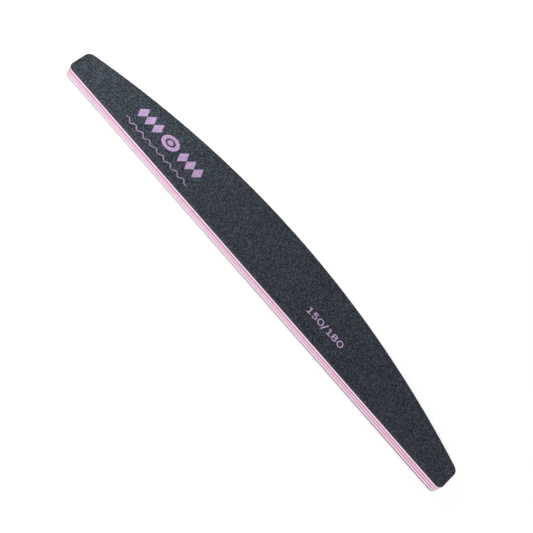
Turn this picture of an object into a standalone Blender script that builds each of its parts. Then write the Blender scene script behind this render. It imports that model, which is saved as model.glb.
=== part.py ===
"""A half-moon nail file: a board of eleven flat plies, glued face to face and die cut in one stroke.

The straight filing edge runs along X and faces -Y, the arched back faces +Y, and the plies stack
along +Z. The origin is the middle of the board's length and width, on the face that it lies on.
All sizes are in metres.
"""

import math

import bpy

# The die's outline. Across the board, end_width reaches from the straight edge to the top of the round on
# the upper corners. Along it, the lower corners lie end_lean further in than the upper ones.
board_length = 0.178
board_width = 0.028
end_width = 0.0121
end_lean = 0.0010
corner_radius = 0.0025

# The plies, from the middle of the board outwards, and the glue that parts them
core_thickness = 0.00068
skin_thickness = 0.00046
foam_thickness = 0.00068
tape_thickness = 0.00005
paper_thickness = 0.00018
coarse_grit_thickness = 0.00012
fine_grit_thickness = 0.00010
glue_line = 0.00001

# How finely the round stretches of the outline are drawn
corner_steps = 10
half_back_steps = 24


class Finish:
    """A material's colour (linear red, green, blue), roughness and metallic value."""

    def __init__(self, name, colour, roughness, metallic=0.0):
        self.name = name
        self.colour = colour
        self.roughness = roughness
        self.metallic = metallic

    def material(self):
        made = bpy.data.materials.get(self.name) or bpy.data.materials.new(self.name)
        made.use_nodes = True
        shader = made.node_tree.nodes["Principled BSDF"]
        shader.inputs["Base Color"].default_value = (*self.colour, 1.0)
        shader.inputs["Roughness"].default_value = self.roughness
        shader.inputs["Metallic"].default_value = self.metallic
        return made


GRIT = Finish("black_grit", (0.036, 0.041, 0.050), 0.62)
PAPER = Finish("grey_black_paper", (0.030, 0.032, 0.036), 0.90)
TAPE = Finish("clear_tape", (0.80, 0.79, 0.77), 0.35)
FOAM = Finish("white_foam", (0.86, 0.85, 0.86), 0.80)
SKIN = Finish("rose_plastic", (0.66, 0.20, 0.36), 0.50)
CORE = Finish("light_pink_plastic", (0.91, 0.47, 0.64), 0.50)


def clear_scene():
    for obj in list(bpy.data.objects):
        bpy.data.objects.remove(obj)


def arc(centre, radius, start, end, steps):
    """Points on a round stretch from one angle to another, both ends included."""
    angles = (start + (end - start) * step / steps for step in range(steps + 1))
    return [(centre[0] + radius * math.cos(a), centre[1] + radius * math.sin(a)) for a in angles]


def board_outline():
    """The die's outline, anticlockwise: four round corners of one radius, and a back that is one arc.

    The back runs through the crown, in the middle of the board, and is tangent to both upper corners.
    """
    straight_edge_y = -board_width / 2
    crown_y = board_width / 2
    upper_corner = (board_length / 2 - corner_radius, straight_edge_y + end_width - corner_radius)
    lower_corner = (upper_corner[0] - end_lean, straight_edge_y + corner_radius)

    half_span = upper_corner[0]
    drop = crown_y - upper_corner[1]
    back_radius = (half_span**2 + drop**2 - corner_radius**2) / (2 * (drop - corner_radius))
    back_centre = (0, crown_y - back_radius)

    end_rise = upper_corner[1] - lower_corner[1]
    end_angle = math.atan2(-end_lean, end_rise)
    back_angle = math.atan2(upper_corner[1] - back_centre[1], half_span)

    right_half = [
        *arc(lower_corner, corner_radius, -math.pi / 2, end_angle, corner_steps),
        *arc(upper_corner, corner_radius, end_angle, back_angle, corner_steps),
        *arc(back_centre, back_radius, back_angle, math.pi / 2, half_back_steps)[1:],
    ]
    left_half = [(-x, y) for x, y in reversed(right_half[:-1])]
    return right_half + left_half


def ply(name, finish, bottom, thickness, collection):
    """One flat ply, cut to the board's outline. Returns the height of its upper face."""
    curve = bpy.data.curves.new(name, "CURVE")
    curve.dimensions = "2D"
    curve.fill_mode = "BOTH"
    curve.extrude = thickness / 2
    outline = board_outline()
    spline = curve.splines.new("POLY")
    spline.points.add(len(outline) - 1)
    for point, (x, y) in zip(spline.points, outline):
        point.co = (x, y, 0, 1)
    spline.use_cyclic_u = True
    curve.materials.append(finish.material())
    sheet = bpy.data.objects.new(name, curve)
    sheet.location.z = bottom + thickness / 2
    collection.objects.link(sheet)
    return bottom + thickness


def build_board():
    collection = bpy.data.collections.new("nail_file")
    bpy.context.scene.collection.children.link(collection)
    plies = (
        ("lower_grit_coat", GRIT, fine_grit_thickness),
        ("lower_backing_paper", PAPER, paper_thickness),
        ("lower_tape", TAPE, tape_thickness),
        ("lower_foam", FOAM, foam_thickness),
        ("lower_core_skin", SKIN, skin_thickness),
        ("core_sheet", CORE, core_thickness),
        ("upper_core_skin", SKIN, skin_thickness),
        ("upper_foam", FOAM, foam_thickness),
        ("upper_tape", TAPE, tape_thickness),
        ("upper_backing_paper", PAPER, paper_thickness),
        ("upper_grit_coat", GRIT, coarse_grit_thickness),
    )
    bottom = 0
    for name, finish, thickness in plies:
        bottom = ply(name, finish, bottom, thickness, collection) + glue_line


clear_scene()
build_board()
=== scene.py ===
# The looks of a half-moon nail file, around its packed plies: two faces of modelled grains, foam and
# plastic plies with die-cut edges, lilac print that follows the grains, and a plain white studio. All
# lengths are in metres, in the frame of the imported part.

import math

import bmesh
import bpy
import numpy as np
from bpy.props import FloatProperty, FloatVectorProperty, IntProperty, PointerProperty, StringProperty
from mathutils import Matrix, Vector, noise
from mathutils.bvhtree import BVHTree


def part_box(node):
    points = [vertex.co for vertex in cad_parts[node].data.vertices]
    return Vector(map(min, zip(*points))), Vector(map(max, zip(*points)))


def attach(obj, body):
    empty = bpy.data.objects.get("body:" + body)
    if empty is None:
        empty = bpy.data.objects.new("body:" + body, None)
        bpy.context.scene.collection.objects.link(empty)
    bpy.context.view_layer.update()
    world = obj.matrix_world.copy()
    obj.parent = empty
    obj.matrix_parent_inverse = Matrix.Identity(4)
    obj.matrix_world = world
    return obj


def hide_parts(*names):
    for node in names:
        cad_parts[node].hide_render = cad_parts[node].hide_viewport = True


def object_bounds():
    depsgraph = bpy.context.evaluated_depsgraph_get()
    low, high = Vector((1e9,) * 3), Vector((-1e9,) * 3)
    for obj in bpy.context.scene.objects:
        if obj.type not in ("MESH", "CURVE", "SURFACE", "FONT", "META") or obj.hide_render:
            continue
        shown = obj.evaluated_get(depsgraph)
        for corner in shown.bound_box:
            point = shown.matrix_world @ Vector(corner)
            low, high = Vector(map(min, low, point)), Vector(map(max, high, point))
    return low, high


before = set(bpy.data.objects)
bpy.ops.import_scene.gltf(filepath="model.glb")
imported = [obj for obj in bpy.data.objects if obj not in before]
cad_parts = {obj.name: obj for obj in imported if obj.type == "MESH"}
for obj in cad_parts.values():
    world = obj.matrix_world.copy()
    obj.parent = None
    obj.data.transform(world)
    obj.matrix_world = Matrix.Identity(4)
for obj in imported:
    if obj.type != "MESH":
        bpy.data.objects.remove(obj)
CAD_LOW, CAD_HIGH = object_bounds()

bl_info = {
    "name": "Half-Moon Nail File",
    "version": (1, 0, 0),
    "blender": (4, 5, 0),
    "location": "3D View > Sidebar > Nail File",
    "description": "Models the grains, plies and print of a nail file around its packed part",
    "category": "Object",
}

BODY = "root"
COARSE_FACE = "coarse_grit_face"

# Widths of the grains that the finishes draw
COARSE_GRAIN = 0.00012
FINE_GRAIN = 0.0001

# Noise mostly lies between these levels, and is stretched from them to 0 and 1
NOISE_RANGE = (0.3, 0.7)

# The modelled grains, in shares of their pitch: how far a point strays from its grid, and how deep
# inside the outline the middle of a face lies at least
STRAY_SHARE = 0.34
MARGIN_SHARE = 0.35

# Over 1, more of the grains are low ones
LOW_GRAIN_POWER = 1.4

# At the cut edge: how much of its height a grain loses, and how far the die presses the coat down, as
# a share of its thickness
FLATTENED_SHARE = 0.6
RIM_DROP_SHARE = 0.2

# How far each digit moves the next one on, and its strokes, in shares of the print's digit_advance and
# digit_height: a line has two ends, and an arc has a centre, two radii and two angles in degrees
DIGITS = {
    "1": (
        1.035,
        ("line", (0.5, 1.08), (0.5, 0)),
        ("line", (0.18, 0), (0.86, 0)),
        ("line", (0.2, 0.86), (0.5, 0.98)),
    ),
    "5": (
        1.05,
        ("line", (0.78, 1), (0.21, 1)),
        ("line", (0.21, 1.08), (0.18, 0.5)),
        ("arc", (0.45, 0.31), (0.34, 0.31), 140, -145),
    ),
    "8": (
        1.065,
        ("arc", (0.435, 0.77), (0.33, 0.23), 0, 360),
        ("arc", (0.435, 0.27), (0.37, 0.27), 0, 360),
    ),
    "0": (0.925, ("arc", (0.5, 0.5), (0.42, 0.5), 0, 360)),
    "/": (0.86, ("line", (0.12, -0.25), (0.68, 1.14))),
}

# Steps in which the length of a stroke's path is summed, and how far to each side of a point, as a
# share of the path, its direction is taken
LENGTH_STEPS = 400
TINY_SHARE = 0.0005

# The film of ink, in shares of its pitch: how far its rim strays, and how far to each side of a point
# the grains under it are felt
RAGGED_SHARE = 0.3
PROBE_SHARE = 0.4
PROBES = ((0, 0), (1, 0), (-1, 0), (0, 1), (0, -1))

# The film of ink, in shares of its thickness: how near each other points are merged, and how deep its
# underside lies in the grains
WELD_SHARE = 0.1
ROOT_SHARE = 2


class NailFileSizes(bpy.types.PropertyGroup):
    """The sizes that aren't read from the frame."""

    end_width: FloatProperty(
        name="End Width",
        description="From the straight edge to the top of the round on an upper corner",
        default=0.0121,
        unit="LENGTH",
    )
    end_lean: FloatProperty(
        name="End Lean",
        description="How much further in the lower corners lie than the upper ones",
        default=0.0010,
        unit="LENGTH",
    )
    corner_radius: FloatProperty(
        name="Corner Radius",
        description="Radius of all four corners of the die",
        default=0.0025,
        unit="LENGTH",
    )
    grain_pitch: FloatProperty(
        name="Grain Pitch",
        description="Distance from one modelled grain to the next",
        default=0.000215,
        unit="LENGTH",
    )
    grain_seed: IntProperty(
        name="Grain Seed",
        description="Another number strews the grains and frays the print another way",
        default=7,
        min=1,
    )
    rim_width: FloatProperty(
        name="Rim Width",
        description="How far in from the cut edge the die has pressed the grit down",
        default=0.0005,
        unit="LENGTH",
    )
    edge_pitch: FloatProperty(
        name="Edge Pitch",
        description="Distance between the points of a plastic ply's cut edge",
        default=0.00025,
        unit="LENGTH",
    )
    foam_cell: FloatProperty(
        name="Foam Cell",
        description="Width of a foam cell that the die has cut open",
        default=0.00016,
        unit="LENGTH",
    )
    # Painted light: near the straight edge the lower rose skin is painted paler towards -X, where less
    # shade falls on it
    fade_start: FloatProperty(
        name="Fade Start",
        description="Where the lower rose skin begins to pale towards -X",
        default=0.078,
        unit="LENGTH",
    )
    fade_end: FloatProperty(
        name="Fade End",
        description="From where on the lower rose skin is palest",
        default=0.005,
        unit="LENGTH",
    )
    # Painted light: the lower paper and tape are painted lighter towards -X, where more light reaches
    # them
    painted_light_start: FloatProperty(
        name="Dust Start",
        description="Where the lower paper and tape begin to get dusty towards -X",
        default=0.070,
        unit="LENGTH",
    )
    painted_light_end: FloatProperty(
        name="Dust End",
        description="From where on they are dustiest",
        default=-0.045,
        unit="LENGTH",
    )
    # Painted light: how far back from the straight edge the lower rose skin, paper and tape are painted
    # lighter
    painted_light_depth: FloatProperty(
        name="Worn Depth",
        description="How far back from the straight edge the paling and the dust reach",
        default=0.010,
        unit="LENGTH",
    )
    rim_dust_width: FloatProperty(
        name="Rim Dust Width",
        description="How far in from the straight edge dust lies on the grit",
        default=0.0014,
        unit="LENGTH",
    )
    ink_thickness: FloatProperty(
        name="Ink Thickness",
        description="How far the print stands over all but the highest grains",
        default=0.000012,
        unit="LENGTH",
    )
    ink_pitch: FloatProperty(
        name="Ink Pitch",
        description="Distance between the points of the print",
        default=0.0001,
        unit="LENGTH",
    )


class NailFileColours(bpy.types.PropertyGroup):
    """The colours of the plies and of the print, as linear values."""

    # The grit is mixed between these two by each grain's own tone and by painted shade in the seams and
    # on low grains
    grit_dark: FloatVectorProperty(
        name="Grit in Shade",
        description="Resin between the grains",
        default=(0.006, 0.0072, 0.009),
        subtype="COLOR",
    )
    grit_light: FloatVectorProperty(
        name="Grit in Light",
        description="Broken faces of the grains",
        default=(0.262, 0.322, 0.425),
        subtype="COLOR",
    )
    paper: FloatVectorProperty(
        name="Paper",
        description="Cut edge of the backing papers",
        default=(0.020, 0.021, 0.024),
        subtype="COLOR",
    )
    # Painted light: the lighter colour that the edges of the lower paper and tape are painted towards -X
    dust: FloatVectorProperty(
        name="Dust",
        description="Filing dust on the edges of the lower paper and tape",
        default=(0.86, 0.84, 0.87),
        subtype="COLOR",
    )
    rim_dust: FloatVectorProperty(
        name="Rim Dust",
        description="Pinkish dust of the plies on the grit along the straight edge",
        default=(0.84, 0.46, 0.50),
        subtype="COLOR",
    )
    tape: FloatVectorProperty(
        name="Tape",
        description="Greyish adhesive films between the papers and the foams",
        default=(0.40, 0.39, 0.40),
        subtype="COLOR",
    )
    foam: FloatVectorProperty(
        name="Foam",
        description="White cushion plies",
        default=(0.97, 0.895, 0.95),
        subtype="COLOR",
    )
    rose: FloatVectorProperty(
        name="Rose",
        description="Skins of the core",
        default=(0.59, 0.117, 0.35),
        subtype="COLOR",
    )
    # Painted light: the paler colour that the lower rose skin is painted towards -X, for less shade
    # there
    painted_light_rose: FloatVectorProperty(
        name="Worn Rose",
        description="What the lower skin pales to along the straight edge",
        default=(0.84, 0.49, 0.645),
        subtype="COLOR",
    )
    light_pink: FloatVectorProperty(
        name="Light Pink",
        description="Middle sheet of the core",
        default=(0.98, 0.56, 0.80),
        subtype="COLOR",
    )
    ink: FloatVectorProperty(
        name="Ink",
        description="Lilac of the ornament",
        default=(0.50, 0.335, 0.563),
        subtype="COLOR",
    )
    # Painted light: the numbers lie where the lamps light the face less, and take a lighter copy of the
    # ink
    numbers_ink_painted_lighter: FloatVectorProperty(
        name="Numbers Ink",
        description="Lilac of the numbers, which the screen prints more fully",
        default=(0.74, 0.505, 0.83),
        subtype="COLOR",
    )


class NailFilePrint(bpy.types.PropertyGroup):
    """Where the print stands on the coarse face, and its sizes."""

    numbers: StringProperty(
        name="Numbers",
        description="Grit sizes of the two faces, out of the digits that have strokes",
        default="150/180",
    )
    numbers_centre: FloatVectorProperty(
        name="Numbers Centre",
        description="Middle of the line of numbers",
        default=(0.02731, -0.00485),
        size=2,
        subtype="XYZ",
        unit="LENGTH",
    )
    digit_height: FloatProperty(
        name="Digit Height",
        description="Height of a plain digit, along the middle of its strokes",
        default=0.00256,
        unit="LENGTH",
    )
    digit_advance: FloatProperty(
        name="Digit Advance",
        description="From one digit to the next, before each digit's own share",
        default=0.00238,
        unit="LENGTH",
    )
    digit_stroke: FloatProperty(
        name="Digit Stroke",
        description="Width of a digit's strokes",
        default=0.00039,
        unit="LENGTH",
    )
    ornament_centre: FloatVectorProperty(
        name="Ornament Centre",
        description="Middle of the ornament's ring",
        default=(-0.0497, -0.0024),
        size=2,
        subtype="XYZ",
        unit="LENGTH",
    )
    ornament_length: FloatProperty(
        name="Ornament Length",
        description="From the first lozenge's side to the last one's",
        default=0.0295,
        unit="LENGTH",
    )
    ornament_height: FloatProperty(
        name="Ornament Height",
        description="Height of a lozenge and of the ring",
        default=0.0066,
        unit="LENGTH",
    )
    wave_drop: FloatProperty(
        name="Wave Drop",
        description="How far the wavy rule lies below the middle of the ring",
        default=0.0071,
        unit="LENGTH",
    )
    wave_stroke: FloatProperty(
        name="Wave Stroke",
        description="Width of the wavy rule",
        default=0.00032,
        unit="LENGTH",
    )


class NailFileStage(bpy.types.PropertyGroup):
    """The camera and the studio."""

    camera_place: FloatVectorProperty(
        name="Camera Place",
        description="Where the photograph was taken from",
        default=(0.00889, -0.20332, 0.19640),
        subtype="TRANSLATION",
        unit="LENGTH",
    )
    camera_turn: FloatVectorProperty(
        name="Camera Turn",
        description="How the camera is turned",
        default=tuple(math.radians(angle) for angle in (34.818, -31.553, 39.361)),
        subtype="EULER",
        unit="ROTATION",
    )
    camera_lens: FloatProperty(
        name="Camera Lens",
        description="Focal length on a 36 mm sensor",
        default=58.76,
        unit="CAMERA",
    )
    ambient: FloatProperty(
        name="Ambient",
        description="Strength of the room's light",
        default=0.45,
    )


class Die:
    """The outline that every ply is cut to, the same left and right of its middle.

    A straight edge runs along the front. The back is one arc, tangent to the round upper corners.
    """

    def __init__(self, sizes):
        self.radius = sizes.corner_radius
        self.straight_y = CAD_LOW.y
        self.crown_y = CAD_HIGH.y
        self.upper = Vector((CAD_HIGH.x, CAD_LOW.y + sizes.end_width)) - Vector((1, 1)) * self.radius
        self.lower = Vector((self.upper.x - sizes.end_lean, CAD_LOW.y + self.radius))
        drop = self.crown_y - self.upper.y
        chord = self.upper.x**2 + drop**2 - self.radius**2
        self.back_radius = chord / (2 * (drop - self.radius))
        self.back = Vector((0, self.crown_y - self.back_radius))
        self.end_angle = math.atan2(-sizes.end_lean, self.upper.y - self.lower.y)
        self.back_angle = math.atan2(self.upper.y - self.back.y, self.upper.x)

    @staticmethod
    def line(start, end, pitch):
        """Points on a straight stretch, without its last."""
        steps = math.ceil((end - start).length / pitch)
        return [start.lerp(end, step / steps) for step in range(steps)]

    @staticmethod
    def arc(centre, radius, start, end, pitch):
        """Points on a round stretch, without its last."""
        steps = math.ceil((end - start) * radius / pitch)
        angles = [start + (end - start) * step / steps for step in range(steps)]
        return [centre + radius * Vector((math.cos(angle), math.sin(angle))) for angle in angles]

    def loop(self, pitch):
        """Points round the outline, anticlockwise, at most a pitch apart."""
        quarter = math.pi / 2
        toe = Vector((self.lower.x, self.straight_y))
        end_way = self.radius * Vector((math.cos(self.end_angle), math.sin(self.end_angle)))
        half = [
            *self.line(Vector((0, self.straight_y)), toe, pitch),
            *self.arc(self.lower, self.radius, -quarter, self.end_angle, pitch),
            *self.line(self.lower + end_way, self.upper + end_way, pitch),
            *self.arc(self.upper, self.radius, self.end_angle, self.back_angle, pitch),
            *self.arc(self.back, self.back_radius, self.back_angle, quarter, pitch),
        ]
        crown = Vector((0, self.crown_y))
        return [*half, crown, *(Vector((-point.x, point.y)) for point in reversed(half[1:]))]

    def depth(self, places):
        """How deep inside the outline each place of an array lies, and the way out from it."""
        side = np.where(places[:, 0] < 0, -1, 1)
        right = np.stack((np.abs(places[:, 0]), places[:, 1]), axis=1)
        end_way = np.array((math.cos(self.end_angle), math.sin(self.end_angle)))
        from_back = right - np.array(self.back)
        reach = np.linalg.norm(from_back, axis=1)
        depths = np.stack(
            (
                right[:, 1] - self.straight_y,
                self.radius - (right - np.array(self.lower)) @ end_way,
                self.back_radius - reach,
            )
        )
        ways = np.stack(
            (
                np.broadcast_to((0, -1), right.shape),
                np.broadcast_to(end_way, right.shape),
                from_back / reach[:, None],
            )
        )
        nearest = depths.argmin(axis=0)
        each = np.arange(len(right))
        depth = depths[nearest, each]
        way = ways[nearest, each]
        corners = (
            (self.lower, -math.pi / 2, self.end_angle),
            (self.upper, self.end_angle, self.back_angle),
        )
        for centre, start, end in corners:
            away = right - np.array(centre)
            angle = np.arctan2(away[:, 1], away[:, 0])
            within = (angle > start) & (angle < end)
            gap = np.linalg.norm(away[within], axis=1)
            depth[within] = self.radius - gap
            way[within] = away[within] / gap[:, None]
        way[:, 0] *= side
        return depth, way


class Wire:
    """An output of a node. Arithmetic on a number output adds Math nodes."""

    def __init__(self, network, socket):
        self.network = network
        self.socket = socket

    def math(self, operation, *values):
        """The result of a Math node on numbers or wires."""
        return self.network.node("ShaderNodeMath", {"operation": operation}, dict(enumerate(values)))

    def __add__(self, other):
        return self.math("ADD", self, other)

    def __radd__(self, other):
        return self.math("ADD", other, self)

    def __sub__(self, other):
        return self.math("SUBTRACT", self, other)

    def __rsub__(self, other):
        return self.math("SUBTRACT", other, self)

    def __mul__(self, other):
        return self.math("MULTIPLY", self, other)

    def __rmul__(self, other):
        return self.math("MULTIPLY", other, self)

    def __truediv__(self, other):
        return self.math("DIVIDE", self, other)

    def __rtruediv__(self, other):
        return self.math("DIVIDE", other, self)

    def __pow__(self, other):
        return self.math("POWER", self, other)

    def __rpow__(self, other):
        return self.math("POWER", other, self)

    def clamped(self):
        """The number, cut off at 0 and 1."""
        return self.network.node("ShaderNodeClamp", {}, {"Value": self})


class Network:
    """The nodes of a material or of the room, and the shader that they end in."""

    def __init__(self, owner, shader):
        owner.use_nodes = True
        self.tree = owner.node_tree
        self.shader = self.tree.nodes[shader]

    def node(self, kind, settings, values, output=0):
        """Adds a node, sets it, fills its sockets with values or wires, and gives its output."""
        node = self.tree.nodes.new(kind)
        for setting, value in settings.items():
            setattr(node, setting, value)
        for socket, value in values.items():
            if isinstance(value, Wire):
                self.tree.links.new(value.socket, node.inputs[socket])
            else:
                node.inputs[socket].default_value = value
        return Wire(self, node.outputs[output])

    def mix(self, share, first, second):
        """A colour between two: a Mix node takes them at sockets 6 and 7."""
        colours = {6: opaque(first), 7: opaque(second)}
        return self.node("ShaderNodeMix", {"data_type": "RGBA"}, {0: share, **colours}, 2)

    def rays(self, *kinds):
        """1 on rays of these kinds, and otherwise 0."""
        found = [self.node("ShaderNodeLightPath", {}, {}, f"Is {kind} Ray") for kind in kinds]
        return sum(found, 0).clamped()

    def feed(self, socket, wire):
        """Links a wire to a socket of the shader."""
        self.tree.links.new(wire.socket, self.shader.inputs[socket])


class Finish(Network):
    """One procedural material, with its Principled shader."""

    def __init__(self, name, **constants):
        self.material = bpy.data.materials.new(name)
        super().__init__(self.material, "Principled BSDF")
        for socket, value in constants.items():
            self.shader.inputs[socket.replace("_", " ")].default_value = value

    def place(self, scale=(1, 1, 1)):
        """The object's own coordinates, in metres, scaled along the axes."""
        here = self.node("ShaderNodeTexCoord", {}, {}, "Object")
        return self.node("ShaderNodeMapping", {}, {"Vector": here, "Scale": scale})

    def along(self, axis):
        """How far along one of the part's axes a point lies."""
        return self.node("ShaderNodeSeparateXYZ", {}, {"Vector": self.place()}, axis)

    def clouds(self, place, feature, detail, roughness=0.5):
        """Smooth noise whose features are about that wide, from 0 to 1."""
        values = {"Vector": place, "Scale": 1 / feature, "Detail": detail, "Roughness": roughness}
        return self.node("ShaderNodeTexNoise", {"noise_dimensions": "3D"}, values)

    def cells(self, place, feature, output="Distance"):
        """Cells about that wide: how far it is to a cell's middle, or the cell's Color or Position."""
        return self.node("ShaderNodeTexVoronoi", {}, {"Vector": place, "Scale": 1 / feature}, output)

    def seams(self, place, feature):
        """How far it is from the nearest seam between two cells."""
        settings = {"feature": "DISTANCE_TO_EDGE"}
        return self.node("ShaderNodeTexVoronoi", settings, {"Vector": place, "Scale": 1 / feature})

    def tilted(self, colour, amount):
        """The surface's normal, turned another way for each colour."""
        normal = self.node("ShaderNodeNewGeometry", {}, {}, "Normal")
        middle = {"operation": "SUBTRACT"}
        away = self.node("ShaderNodeVectorMath", middle, {0: colour, 1: (0.5, 0.5, 0.5)})
        parts = {0: away, 1: (amount, amount, amount), 2: normal}
        turned = self.node("ShaderNodeVectorMath", {"operation": "MULTIPLY_ADD"}, parts)
        return self.node("ShaderNodeVectorMath", {"operation": "NORMALIZE"}, {0: turned})

    def channel(self, colour, name="Red"):
        """One channel of a colour, as a number."""
        return self.node("ShaderNodeSeparateColor", {}, {"Color": colour}, name)

    def attribute(self, name):
        """A number that the piece's mesh holds for each of its points."""
        return self.node("ShaderNodeAttribute", {"attribute_name": name}, {}, "Fac")

    def bump(self, height, distance, strength=1.0, onto=None):
        """The normal of a surface that is raised by a height from 0 to 1, at most by that distance."""
        values = {"Height": height, "Distance": distance, "Strength": strength}
        if onto is not None:
            values["Normal"] = onto
        return self.node("ShaderNodeBump", {}, values)

    def finished(self, colour, roughness, normal):
        """The material, with what varies over its surface linked to its shader."""
        self.feed("Base Color", colour)
        self.feed("Roughness", roughness)
        self.feed("Normal", normal)
        return self.material


def opaque(colour):
    """A colour as a colour socket takes it."""
    return colour if isinstance(colour, Wire) or len(colour) == 4 else (*colour, 1)


def grey(level):
    """An opaque grey of that level."""
    return (level, level, level, 1)


def scaled(colour, share):
    """A colour with its channels multiplied by a number."""
    return tuple(share * channel for channel in colour)


def stretch(value, low, high):
    """A number wire scaled so that low gives 0 and high gives 1, and cut off there."""
    return ((value - low) / (high - low)).clamped()


def between(share, first, second):
    """A number wire from 0 to 1, made to run from the first number to the second."""
    return first + (second - first) * share


def add_object(name, data):
    """Adds an object that holds the mesh, lamp or camera to the scene."""
    added = bpy.data.objects.new(name, data)
    bpy.context.scene.collection.objects.link(added)
    return added


def add_mesh(name, bm, material):
    """Adds a mesh object made of the bmesh, which it frees."""
    mesh = bpy.data.meshes.new(name)
    bm.to_mesh(mesh)
    bm.free()
    mesh.materials.append(material)
    return add_object(name, mesh)


def finish_piece(name, bm, material, slot=None, replaced=()):
    """Makes a piece of the bmesh, and hangs it on the frame.

    slot, the record's slot for its material, which ink has none of, is not used. replaced holds the
    nodes that the piece stands for.
    """
    piece = add_mesh(name, bm, material)
    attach(piece, BODY)
    if replaced:
        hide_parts(*replaced)
    return piece


def places_of(verts):
    """The places of bmesh points, as an array with a row for each."""
    return np.array([vert.co for vert in verts])


def cut_ply(die, node, pitch, rows, inset):
    """A ply of the node's height whose cut edge is drawn finely, as a bmesh.

    inset gives how far a point of the cut edge lies inside the die's outline, from its place and from
    how far up the ply it is, as a share.
    """
    low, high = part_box(node)
    bm = bmesh.new()
    under = bm.faces.new([bm.verts.new((*point, low.z)) for point in die.loop(pitch)])
    raised = bmesh.ops.extrude_face_region(bm, geom=[under])["geom"]
    upper = [item for item in raised if isinstance(item, bmesh.types.BMVert)]
    bmesh.ops.translate(bm, verts=upper, vec=(0, 0, high.z - low.z))
    raised_set = set(upper)
    uprights = [edge for edge in bm.edges if len(raised_set.intersection(edge.verts)) == 1]
    bmesh.ops.subdivide_edges(bm, edges=uprights, cuts=rows - 1)
    bmesh.ops.recalc_face_normals(bm, faces=bm.faces)
    places = places_of(bm.verts)
    _, ways = die.depth(places[:, :2])
    for vert, way in zip(bm.verts, ways):
        share = (vert.co.z - low.z) / (high.z - low.z)
        vert.co.xy -= Vector(way) * inset(vert.co, share)
    for face in bm.faces:
        face.smooth = len(face.verts) == 4
    return bm


def grit_face(die, node, up, pitch, seed, relief_share, rim_width):
    """A coat of grains in the node's place, as a bmesh: a grid of strewn points, trimmed to the die.

    up is 1 where the grains point up and -1 where they point down. relief_share is how deep the lowest
    resin lies under the highest grain, as a share of the coat's thickness.
    """
    low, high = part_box(node)
    thickness = high.z - low.z
    outer, inner = (high.z, low.z) if up > 0 else (low.z, high.z)
    columns = math.ceil((high.x - low.x) / pitch) + 1
    rows = math.ceil((high.y - low.y) / pitch) + 1
    bm = bmesh.new()
    grain = bm.verts.layers.float.new("grain")
    spread = Matrix.Diagonal((columns * pitch, rows * pitch, 1, 1))
    bmesh.ops.create_grid(bm, x_segments=columns, y_segments=rows, size=0.5, matrix=spread)

    strewn = np.random.default_rng(seed)
    wander = STRAY_SHARE * pitch
    for vert, step in zip(bm.verts, strewn.uniform(-wander, wander, (len(bm.verts), 2))):
        vert.co.xy += Vector(step)
    middles = np.array([face.calc_center_median() for face in bm.faces])
    depths, _ = die.depth(middles[:, :2])
    outside = [face for face, depth in zip(bm.faces, depths) if depth < MARGIN_SHARE * pitch]
    bmesh.ops.delete(bm, geom=outside, context="FACES")

    rim = {vert for vert in bm.verts if vert.is_boundary}
    depths, ways = die.depth(places_of(bm.verts)[:, :2])
    for vert, depth, way in zip(bm.verts, depths, ways):
        if vert in rim:
            vert.co.xy += Vector(way) * depth
    bmesh.ops.triangulate(bm, faces=bm.faces, quad_method="SHORT_EDGE")

    heights = strewn.uniform(0, 1, len(bm.verts)) ** LOW_GRAIN_POWER
    relief = relief_share * thickness
    drop = RIM_DROP_SHARE * thickness
    for vert, height, depth in zip(bm.verts, heights, depths):
        inside = min(1, max(0, depth) / rim_width) if vert not in rim else 0
        pressed = (1 - inside) ** 2
        vert[grain] = height
        height *= 1 - FLATTENED_SHARE * pressed
        vert.co.z = outer - up * ((1 - height) * relief + pressed * drop)

    edges = [edge for edge in bm.edges if edge.is_boundary]
    wall = bmesh.ops.extrude_edge_only(bm, edges=edges)["geom"]
    for item in wall:
        if isinstance(item, bmesh.types.BMVert):
            item.co.z = inner
    foot = [edge for edge in bm.edges if edge.is_boundary]
    bmesh.ops.edgeloop_fill(bm, edges=foot)
    bmesh.ops.recalc_face_normals(bm, faces=bm.faces)
    return bm


def grains_of(finish, grain_size):
    """How light each grain is, how high it stands, and its own colour code, on one pattern of cells."""
    cluster_width = 3.7 * grain_size
    cluster_range = (0.40, 0.60)
    cluster_power = 1.2
    darkest_cluster = 0.1
    grain_power = 1.3
    darkest_grain = 0.15
    painted_seam_width = 0.16
    darkest_painted_seam_shade = 0.25
    here = finish.place()
    code = finish.cells(here, grain_size, "Color")
    middle = finish.cells(here, grain_size, "Position")
    cluster = stretch(finish.clouds(middle, cluster_width, detail=1), *cluster_range)
    # Painted shade: the seams between the grains are darker
    gap = stretch(finish.seams(here, grain_size), 0, painted_seam_width)
    light = between(cluster**cluster_power, darkest_cluster, 1)
    light *= between(finish.channel(code) ** grain_power, darkest_grain, 1)
    light *= between(gap, darkest_painted_seam_shade, 1)
    hump = 1 - finish.cells(here, grain_size)
    return light, hump, code


def grit_finish(colours, name, grain_size, dust_width):
    """Grains in darker resin, each with its own shade, tilt and gloss, and a little dust at the rim."""
    lowest_grain_painted_shade = 0.3
    most_dust = 0.07
    patch_width = 4 * grain_size
    gloss_power = 3
    hump_height = 0.7 * grain_size
    tilt = 0.9
    finish = Finish(name, Specular_IOR_Level=0.18)
    light, hump, code = grains_of(finish, grain_size)
    # Painted shade: the lower a grain stands, the darker it is
    shade = light * between(finish.attribute("grain"), lowest_grain_painted_shade, 1)
    grit = finish.mix(shade, colours.grit_dark, colours.grit_light)
    rim = stretch(finish.along("Y"), CAD_LOW.y + dust_width, CAD_LOW.y)
    patches = stretch(finish.clouds(finish.place(), patch_width, detail=3), *NOISE_RANGE)
    dusty = finish.mix(most_dust * rim * patches, grit, colours.rim_dust)
    roughness = between(finish.channel(code, "Green") ** gloss_power, 0.9, 0.25)
    normal = finish.bump(hump, hump_height, onto=finish.tilted(code, tilt))
    return finish.finished(dusty, roughness, normal)


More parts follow.
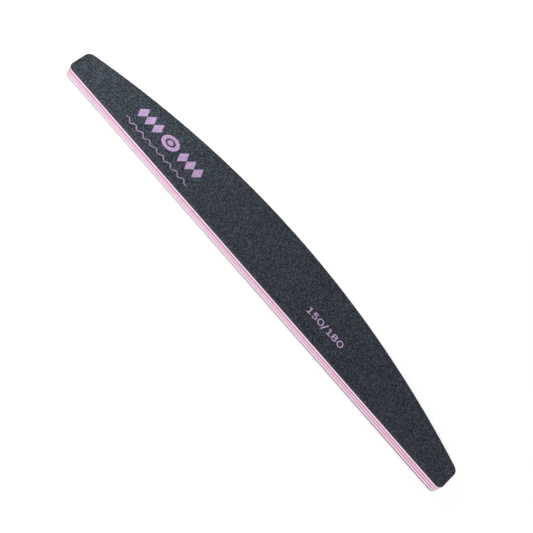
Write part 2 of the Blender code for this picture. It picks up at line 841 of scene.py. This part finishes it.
def painted_edge_light(finish, shade, painted_light):
    """The shade, painted lighter near the straight edge towards -X if the piece is given painted light.

    That painted light is the lighter colour, where along the board it begins towards -X, from where on
    it is fullest, and how far back from the straight edge it reaches.
    """
    if painted_light is None:
        return shade
    colour, start, end, depth = painted_light
    full_depth = 0.3 * depth
    patch_width = 0.0025
    patch_range = (0.35, 0.65)
    least_patch = 0.82
    near = stretch(finish.along("Y"), CAD_LOW.y + depth, CAD_LOW.y + full_depth)
    patches = stretch(finish.clouds(finish.place(), patch_width, detail=3), *patch_range)
    share = stretch(finish.along("X"), start, end) * near * between(patches, least_patch, 1)
    return finish.mix(share, shade, colour)


def plastic_finish(colour, name, pale, painted_light=None):
    """Satin plastic with the fine upright lines that a die leaves on a cut edge."""
    upright = (1, 1, 0.05)
    line_width = 0.00018
    line_depth = 0.00003
    line_share = 0.6
    tone_width = 0.004
    palest = 0.22
    finish = Finish(name)
    lines = finish.clouds(finish.place(upright), line_width, detail=3)
    tone = finish.clouds(finish.place(), tone_width, detail=2)
    share = stretch(line_share * lines + (1 - line_share) * tone, *NOISE_RANGE)
    # Painted light, where it is given: paler towards -X near the straight edge
    shade = painted_edge_light(finish, finish.mix(palest * share, colour, pale), painted_light)
    roughness = between(lines, 0.38, 0.63)
    return finish.finished(shade, roughness, finish.bump(lines, line_depth, strength=0.6))


def foam_finish(colours):
    """White foam: cut cells, each with a hollow that painted shade makes slightly darker."""
    cell_width = 0.00013
    cell_depth = 0.00004
    wall_range = (0.1, 0.7)
    wall_share = 0.45
    tone_width = 0.003
    tone_share = 0.2
    painted_hollow_shade = 0.80
    finish = Finish("cut_foam", Specular_IOR_Level=0.25)
    here = finish.place()
    wall = stretch(finish.cells(here, cell_width), *wall_range)
    tone = finish.clouds(here, tone_width, detail=3)
    light = 1 - wall_share - tone_share + wall_share * wall + tone_share * tone
    # Painted shade: each cell's hollow is darker than its walls
    shade = finish.mix(light, scaled(colours.foam, painted_hollow_shade), colours.foam)
    roughness = between(wall, 0.75, 0.95)
    return finish.finished(shade, roughness, finish.bump(wall, cell_depth, strength=0.7))


def paper_finish(colours, name, painted_light=None):
    """Dark abrasive paper seen from its cut edge: long fibres, some of them torn and lighter."""
    flat = (1, 1, 6)
    fibre_width = 0.0003
    fibre_depth = 0.00004
    torn_range = (0.42, 0.72)
    torn_power = 2
    torn_shade = 3.2
    finish = Finish(name, Specular_IOR_Level=0.25)
    fibres = finish.clouds(finish.place(flat), fibre_width, detail=4, roughness=0.7)
    torn = stretch(fibres, *torn_range) ** torn_power
    # Painted light, where it is given: lighter towards -X near the straight edge
    shade = painted_edge_light(finish, finish.mix(torn, colours.paper, scaled(colours.paper, torn_shade)), painted_light)
    roughness = between(fibres, 0.82, 0.97)
    return finish.finished(shade, roughness, finish.bump(fibres, fibre_depth, strength=0.8))


def tape_finish(colours, name, painted_light=None):
    """Greyish adhesive film, with the small waves of its squeezed edge, painted darker in their hollows.
    """
    wave_width = 0.0006
    wave_depth = 0.00002
    painted_hollow_shade = 0.7
    finish = Finish(name)
    waves = finish.clouds(finish.place(), wave_width, detail=3)
    # Painted shade: the hollows between the waves are darker
    hollow = scaled(colours.tape, painted_hollow_shade)
    # Painted light, where it is given: lighter towards -X near the straight edge
    shade = painted_edge_light(finish, finish.mix(stretch(waves, *NOISE_RANGE), hollow, colours.tape), painted_light)
    roughness = between(waves, 0.25, 0.60)
    return finish.finished(shade, roughness, finish.bump(waves, wave_depth, strength=0.6))


def ink_finish(ink, name, grain_size):
    """Lilac screen print: light on the grains, thin and dark in the gaps between them."""
    height_share = 0.4
    full_cover = 0.58
    thin_ink_and_painted_shade = 0.3
    hump_height = 0.3 * grain_size
    tilt = 0.3
    finish = Finish(f"{name}_ink", Specular_IOR_Level=0.3)
    light, hump, code = grains_of(finish, grain_size)
    # The ink is darker in the seams and on low grains: partly thinner ink over the grit, partly painted
    # shade
    cover = stretch(light + height_share * finish.attribute("grain"), 0, full_cover)
    shade = finish.mix(cover, scaled(ink, thin_ink_and_painted_shade), ink)
    roughness = between(cover, 0.75, 0.5)
    normal = finish.bump(hump, hump_height, onto=finish.tilted(code, tilt))
    return finish.finished(shade, roughness, normal)


def line_path(start, end):
    """A straight path, as a function from the share of it that is done to the place reached."""
    return lambda share: Vector(start).lerp(Vector(end), share)


def arc_path(centre, radii, start, end):
    """An elliptic path between two angles in degrees, as a function of the same kind."""

    def path(share):
        angle = math.radians(start + (end - start) * share)
        return Vector((centre[0] + radii[0] * math.cos(angle), centre[1] + radii[1] * math.sin(angle)))

    return path


def on_board(path, origin, scale=1):
    """A path moved to its place on the board: scaled, and then laid from that origin."""
    return lambda share: origin + path(share) * scale


def lay_stroke(bm, path, width, pitch):
    """Adds a flat strip of that width along a path, with points at most about a pitch apart."""
    posts = [path(step / LENGTH_STEPS) for step in range(LENGTH_STEPS + 1)]
    length = sum((ahead - behind).length for behind, ahead in zip(posts, posts[1:]))
    columns = math.ceil(length / pitch)
    rows = math.ceil(width / pitch)
    strip = bmesh.ops.create_grid(bm, x_segments=columns, y_segments=rows, size=0.5)["verts"]
    for vert in strip:
        share = vert.co.x + 0.5
        ahead = path(share + TINY_SHARE) - path(share - TINY_SHARE)
        across = Vector((-ahead.y, ahead.x)).normalized()
        vert.co = (path(share) + vert.co.y * width * across).to_3d()


def print_on_grit(name, bm, sizes, ink):
    """Lays flat shapes, drawn at height 0, on the coarse grains as a closed film of ink."""
    grit = bpy.data.objects[COARSE_FACE]
    grains = bmesh.new()
    grains.from_mesh(grit.data)
    foot = max(grains.faces, key=lambda face: len(face.verts))
    bmesh.ops.delete(grains, geom=[foot], context="FACES_ONLY")
    tree = BVHTree.FromBMesh(grains)
    grains.free()
    heights = [corner[2] for corner in grit.bound_box]
    low, high = min(heights), max(heights)

    bmesh.ops.remove_doubles(bm, verts=bm.verts, dist=WELD_SHARE * sizes.ink_thickness)
    ragged = RAGGED_SHARE * sizes.ink_pitch
    # Seeded, vector noise frays the rim in the same way each time
    noise.seed_set(sizes.grain_seed)
    for vert in bm.verts:
        if vert.is_boundary:
            vert.co += ragged * noise.noise_vector(vert.co / sizes.ink_pitch).xy.to_3d()
    grain = bm.verts.layers.float.new("grain")
    raised = bmesh.ops.extrude_face_region(bm, geom=bm.faces[:])["geom"]
    film = {item for item in raised if isinstance(item, bmesh.types.BMVert)}
    probes = [Vector((across, along, 0)) * PROBE_SHARE * sizes.ink_pitch for across, along in PROBES]
    down = Vector((0, 0, -1))
    for vert in bm.verts:
        above = Vector((vert.co.x, vert.co.y, high + sizes.ink_thickness))
        hits = [tree.ray_cast(above + probe, down, high - low)[0] for probe in probes]
        if None in hits:
            raise RuntimeError(f"{name} reaches past the grit face at {vert.co.xy}")
        top = max(hit.z for hit in hits)
        vert[grain] = (top - low) / (high - low)
        if vert in film:
            vert.co.z = min(high, top + sizes.ink_thickness)
        else:
            vert.co.z = top - ROOT_SHARE * sizes.ink_thickness
    bmesh.ops.recalc_face_normals(bm, faces=bm.faces)
    finish_piece(name, bm, ink_finish(ink, name, COARSE_GRAIN))


def sizes_and_colours(context):
    """The groups of sizes and of colours."""
    return context.scene.nail_file_sizes, context.scene.nail_file_colours


class NAILFILE_OT_core(bpy.types.Operator):
    """Model the light pink core sheet and the rose skin on each of its faces"""

    bl_idname = "nailfile.core"
    bl_label = "Core Sheets"

    # Rows of points up a cut edge
    rows = 6
    # How far in the edge lies: all of it, at its rounded rims, and in its waves
    skin_set_back = 0.00004
    sheet_set_back = 0.00001
    rounding = 0.00003
    rounding_power = 4
    wave_depth = 0.00001
    wave_width = 0.003

    def execute(self, context):
        sizes, colours = sizes_and_colours(context)
        die = Die(sizes)
        half_white = tuple(0.5 * channel + 0.5 for channel in colours.light_pink)
        # Painted light: the lower rose skin is painted paler towards -X, where less shade falls on it
        painted_light = (colours.painted_light_rose, sizes.fade_start, sizes.fade_end, sizes.painted_light_depth)
        rose = plastic_finish(colours.rose, "rose_sheet", colours.light_pink)
        painted_light_rose = plastic_finish(colours.rose, "painted_light_rose_sheet", colours.light_pink, painted_light)
        pink = plastic_finish(colours.light_pink, "light_pink_sheet", half_white)
        sheets = (
            ("lower_rose_skin", "lower_core_skin", painted_light_rose, "rose_plastic", self.skin_set_back),
            ("pink_core_sheet", "core_sheet", pink, "light_pink_plastic", self.sheet_set_back),
            ("upper_rose_skin", "upper_core_skin", rose, "rose_plastic", self.skin_set_back),
        )
        for name, node, material, slot, set_back in sheets:
            bm = cut_ply(die, node, sizes.edge_pitch, self.rows, self.edge(set_back))
            finish_piece(name, bm, material, slot, [node])
        return {"FINISHED"}

    def edge(self, set_back):
        """The inset of a sheet's cut edge: it rounds towards both faces, and is slightly wavy."""

        def inset(place, share):
            rounded = abs(2 * share - 1) ** self.rounding_power
            wave = noise.noise(place / self.wave_width)
            return set_back + self.rounding * rounded + self.wave_depth * (1 + wave)

        return inset


class NAILFILE_OT_foams(bpy.types.Operator):
    """Model the two white foam plies, with the cells that the die has cut open along their edges"""

    bl_idname = "nailfile.foams"
    bl_label = "Foam Plies"

    # Rows of points up a cut edge, and the pitch along it in foam cells
    rows = 8
    pitch_share = 0.75
    # How far in the edge lies: all of it, next to the faces, and in the pits of its cells, and how many
    # cells a pit reaches from its middle
    set_back = 0.00002
    draw_in = 0.00003
    pit_depth = 0.00005
    pit_reach = 0.6

    def execute(self, context):
        sizes, colours = sizes_and_colours(context)
        die = Die(sizes)
        material = foam_finish(colours)

        def inset(place, share):
            drawn_in = (2 * share - 1) ** 2
            near, _ = noise.voronoi(place / sizes.foam_cell)
            pit = max(0, self.pit_reach - near[0]) / self.pit_reach
            return self.set_back + self.draw_in * drawn_in + self.pit_depth * pit

        for name, node in (("lower_foam_ply", "lower_foam"), ("upper_foam_ply", "upper_foam")):
            bm = cut_ply(die, node, self.pitch_share * sizes.foam_cell, self.rows, inset)
            piece = finish_piece(name, bm, material, "white_foam", [node])
        return {"FINISHED"}


class NAILFILE_OT_papers(bpy.types.Operator):
    """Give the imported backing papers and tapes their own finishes"""

    bl_idname = "nailfile.papers"
    bl_label = "Papers and Tapes"

    def execute(self, context):
        sizes, colours = sizes_and_colours(context)
        # Painted light: the lower paper and tape are painted lighter towards -X near the straight edge
        dust = (colours.dust, sizes.painted_light_start, sizes.painted_light_end, sizes.painted_light_depth)
        finishes = {
            "upper_backing_paper": paper_finish(colours, "dark_paper"),
            "lower_backing_paper": paper_finish(colours, "painted_light_paper", dust),
            "upper_tape": tape_finish(colours, "clean_tape"),
            "lower_tape": tape_finish(colours, "painted_light_tape", dust),
        }
        for node, material in finishes.items():
            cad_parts[node].material_slots[0].material = material
        return {"FINISHED"}


class NAILFILE_OT_grit(bpy.types.Operator):
    """Strew grains over both faces: coarser ones on the upper, finer ones on the lower"""

    bl_idname = "nailfile.grit"
    bl_label = "Grit Faces"

    def execute(self, context):
        sizes, colours = sizes_and_colours(context)
        die = Die(sizes)
        faces = (
            (COARSE_FACE, "upper_grit_coat", 1, COARSE_GRAIN, 0.75),
            ("fine_grit_face", "lower_grit_coat", -1, FINE_GRAIN, 0.6),
        )
        for name, node, up, grain_size, relief_share in faces:
            seed = sizes.grain_seed + up
            bm = grit_face(die, node, up, sizes.grain_pitch, seed, relief_share, sizes.rim_width)
            material = grit_finish(colours, name, grain_size, sizes.rim_dust_width)
            finish_piece(name, bm, material, "black_grit", [node])
        return {"FINISHED"}


class NAILFILE_OT_numbers(bpy.types.Operator):
    """Print the grit sizes of the two faces on the coarse one"""

    bl_idname = "nailfile.numbers"
    bl_label = "Grit Numbers"

    def execute(self, context):
        sizes, colours = sizes_and_colours(context)
        layout = context.scene.nail_file_print
        scale = Vector((layout.digit_advance, layout.digit_height))
        length = sum(DIGITS[digit][0] for digit in layout.numbers)
        corner = Vector(layout.numbers_centre) - Vector((length, 1)) * scale / 2
        bm = bmesh.new()
        for digit in layout.numbers:
            advance, *strokes = DIGITS[digit]
            for shape, *measures in strokes:
                path = line_path(*measures) if shape == "line" else arc_path(*measures)
                lay_stroke(bm, on_board(path, corner, scale), layout.digit_stroke, sizes.ink_pitch)
            corner = corner + Vector((advance, 0)) * scale
        # Painted light: the numbers take a lighter copy of the ornament's ink
        print_on_grit("grit_numbers", bm, sizes, colours.numbers_ink_painted_lighter)
        return {"FINISHED"}


class NAILFILE_OT_ornament(bpy.types.Operator):
    """Print a plain ornament on the coarse face: a ring between lozenges, over a wavy rule"""

    bl_idname = "nailfile.ornament"
    bl_label = "Lozenge Ornament"

    # The shares are of the ornament's height, and the step from one lozenge to the next of their width
    lozenges_a_side = 3
    lozenge_width_share = 0.5
    lozenge_step_share = 1.05
    ring_stroke_share = 0.22
    dot_share = 0.34
    waves = 9
    wave_height_share = 0.19

    def execute(self, context):
        sizes, colours = sizes_and_colours(context)
        layout = context.scene.nail_file_print
        centre = Vector(layout.ornament_centre)
        height = layout.ornament_height
        half = layout.ornament_length / 2
        bm = bmesh.new()
        width = self.lozenge_width_share * height
        for place in range(self.lozenges_a_side):
            reach = half - (0.5 + place * self.lozenge_step_share) * width
            for side in (-1, 1):
                self.lozenge(bm, centre + Vector((side * reach, 0)), width, height, sizes.ink_pitch)
        stroke = self.ring_stroke_share * height
        dot = self.dot_share * height / 2
        # The dot is a ring too, whose broad line closes its middle
        for diameter, line in ((height - stroke, stroke), (dot, dot)):
            around = arc_path((0, 0), (diameter / 2, diameter / 2), 0, 360)
            lay_stroke(bm, on_board(around, centre), line, sizes.ink_pitch)

        def wave(share):
            lift = math.sin(2 * math.pi * self.waves * share) * self.wave_height_share * height / 2
            return centre + Vector(((2 * share - 1) * half, lift - layout.wave_drop))

        lay_stroke(bm, wave, layout.wave_stroke, sizes.ink_pitch)
        print_on_grit("lozenge_ornament", bm, sizes, colours.ink)
        return {"FINISHED"}

    @staticmethod
    def lozenge(bm, centre, width, height, pitch):
        """Adds a filled lozenge: a square grid on its corner, then stretched."""
        spread = Matrix.Diagonal((width / math.sqrt(2), height / math.sqrt(2), 1, 1))
        place = Matrix.Translation(centre.to_3d()) @ spread @ Matrix.Rotation(math.pi / 4, 4, "Z")
        steps = math.ceil(height / pitch)
        bmesh.ops.create_grid(bm, x_segments=steps, y_segments=steps, size=0.5, matrix=place)


class NAILFILE_OT_stage(bpy.types.Operator):
    """Set the floor, the white room, the lamps and the camera"""

    bl_idname = "nailfile.stage"
    bl_label = "Stage"

    # Each lamp's name, place, target, diameter and power
    lamps = (
        ("key", (-0.098, 0.018, 0.09), (-0.07, 0, 0), 0.05, 0.09),
        ("fill", (0.24, -0.59, 0.30), (0.01, 0, 0), 0.45, 2.15),
        ("back", (0.32, 0.42, 0.15), (0.03, 0, 0), 0.5, 0.75),
    )
    clip_start = 0.01
    floor_reach = 3
    # So that the floor doesn't lie in the board's underside
    floor_gap = 0.00002
    floor_paint = 0.86
    # How brightly the floor is seen near the board and far from it, and where the change begins and ends
    near_glow = 0.38
    far_glow = 0.7
    glow_start = 0.12
    glow_end = 0.5

    def execute(self, context):
        stage = context.scene.nail_file_stage
        context.scene.view_settings.view_transform = "Standard"
        self.lay_floor()
        self.light_room(context, stage.ambient)
        for lamp in self.lamps:
            self.hang_lamp(*lamp)
        camera = bpy.data.cameras.new("camera")
        camera.lens = stage.camera_lens
        camera.clip_start = self.clip_start
        holder = add_object("camera", camera)
        holder.location = stage.camera_place
        holder.rotation_euler = stage.camera_turn
        context.scene.camera = holder
        return {"FINISHED"}

    def lay_floor(self):
        """Lays a pale floor, which takes shadows and is seen lit to near white."""
        bm = bmesh.new()
        bmesh.ops.create_grid(bm, x_segments=1, y_segments=1, size=self.floor_reach)
        matt = {"Roughness": 0.9, "Specular_IOR_Level": 0, "Emission_Strength": 1}
        finish = Finish("floor", Base_Color=grey(self.floor_paint), **matt)
        seen = finish.rays("Camera", "Glossy", "Transmission")
        length = {"operation": "LENGTH"}
        away = finish.node("ShaderNodeVectorMath", length, {0: finish.place()}, "Value")
        far = stretch(away, self.glow_start, self.glow_end)
        glow = finish.mix(far, grey(self.near_glow), grey(self.far_glow))
        finish.feed("Emission Color", finish.mix(seen, grey(0), glow))
        floor = add_mesh("floor", bm, finish.material)
        floor.location.z = -self.floor_gap

    @staticmethod
    def light_room(context, ambient):
        """Lights the board from all round by the ambient grey. The camera sees the room as white."""
        world = bpy.data.worlds.new("room")
        context.scene.world = world
        room = Network(world, "Background")
        room.feed("Color", room.mix(room.rays("Camera"), grey(ambient), grey(1)))

    @staticmethod
    def hang_lamp(name, place, target, diameter, power):
        """Hangs a round soft lamp, out of the camera's sight, that shines at its target."""
        light = bpy.data.lights.new(name, "AREA")
        light.shape = "DISK"
        light.size = diameter
        light.energy = power
        holder = add_object(name, light)
        holder.location = place
        holder.rotation_euler = (Vector(target) - Vector(place)).to_track_quat("-Z", "Y").to_euler()
        holder.visible_camera = False


class NAILFILE_PT_panel(bpy.types.Panel):
    """The nail file's operators, and the values that they use"""

    bl_idname = "NAILFILE_PT_panel"
    bl_label = "Nail File"
    bl_space_type = "VIEW_3D"
    bl_region_type = "UI"
    bl_category = "Nail File"

    def draw(self, context):
        for operator in OPERATORS:
            self.layout.operator(operator.bl_idname)
        for group in GROUPS:
            box = self.layout.box()
            values = getattr(context.scene, group)
            for name in values.bl_rna.properties.keys():
                # These two are Blender's own
                if name not in {"rna_type", "name"}:
                    box.prop(values, name)


OPERATORS = (
    NAILFILE_OT_core,
    NAILFILE_OT_foams,
    NAILFILE_OT_papers,
    NAILFILE_OT_grit,
    NAILFILE_OT_numbers,
    NAILFILE_OT_ornament,
    NAILFILE_OT_stage,
)
GROUPS = {
    "nail_file_sizes": NailFileSizes,
    "nail_file_colours": NailFileColours,
    "nail_file_print": NailFilePrint,
    "nail_file_stage": NailFileStage,
}
CLASSES = (*GROUPS.values(), *OPERATORS, NAILFILE_PT_panel)


def register():
    """Adds the classes to Blender, and each group of values to the scene."""
    for item in CLASSES:
        bpy.utils.register_class(item)
    for name, group in GROUPS.items():
        setattr(bpy.types.Scene, name, PointerProperty(type=group))


def unregister():
    """Takes the groups of values and the classes out again."""
    for name in GROUPS:
        delattr(bpy.types.Scene, name)
    for item in reversed(CLASSES):
        bpy.utils.unregister_class(item)


def main():
    """Makes the pieces and the stage."""
    register()
    bpy.ops.nailfile.core()
    bpy.ops.nailfile.foams()
    bpy.ops.nailfile.papers()
    bpy.ops.nailfile.grit()
    bpy.ops.nailfile.numbers()
    bpy.ops.nailfile.ornament()
    bpy.ops.nailfile.stage()


if __name__ == "__main__":
    main()
